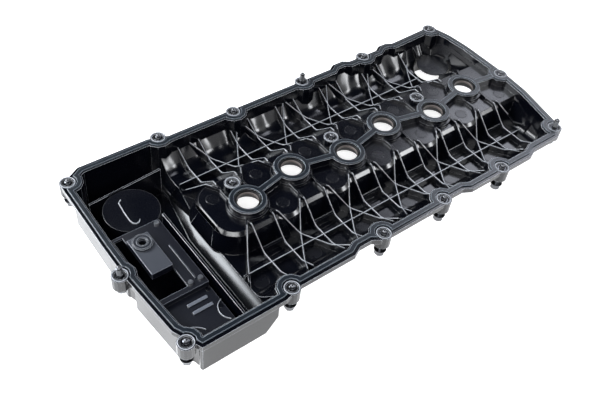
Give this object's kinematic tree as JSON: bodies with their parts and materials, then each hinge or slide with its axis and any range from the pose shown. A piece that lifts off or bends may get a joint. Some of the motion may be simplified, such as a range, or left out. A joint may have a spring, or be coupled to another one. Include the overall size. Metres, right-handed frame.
{
  "type": "engine valve cover",
  "caption": "Moulded black engine valve cover, engine side up: ribbed tub with zigzag plug wells, captive flange bolts, rubber gaskets, oil separator and filler opening.",
  "frame": {"origin": "middle of the plug row on the sealing plane, on the gasket link between the two middle plug wells", "axes": "+Z out of the open engine side, +X along the plug row towards the filler end, +Y towards the back bay"},
  "size_m": [0.5497, 0.255, 0.0624],
  "materials": {
    "nylon": "deep black glass-filled nylon, semi-gloss as moulded",
    "grey_rubber": "grey-blue moulded rubber, lighter on the worn edges",
    "seal_rubber": "brown-grey moulded rubber",
    "bush_rubber": "black rubber bonded round a steel limiter",
    "zinc_steel": "zinc-plated steel, bright",
    "plate_nylon": "dark grey-black nylon, fine moulded grain",
    "valve_plastic": "grey plastic, matt",
    "membrane_rubber": "thin black rubber, matt"
  },
  "bodies": {
    "root": {"cover_shell": "nylon", "perimeter_gasket": "grey_rubber", "plug_gasket": "grey_rubber", "plug_tube_seals": "seal_rubber", "bolt_bushes": "bush_rubber", "captive_bolts": "zinc_steel", "separator_plate": "plate_nylon", "drain_valve": "valve_plastic", "separator_screws": "zinc_steel", "filler_splash_disc": "plate_nylon", "vent_cap": "plate_nylon", "vent_diaphragm": "membrane_rubber"}
  },
  "joints": []
}
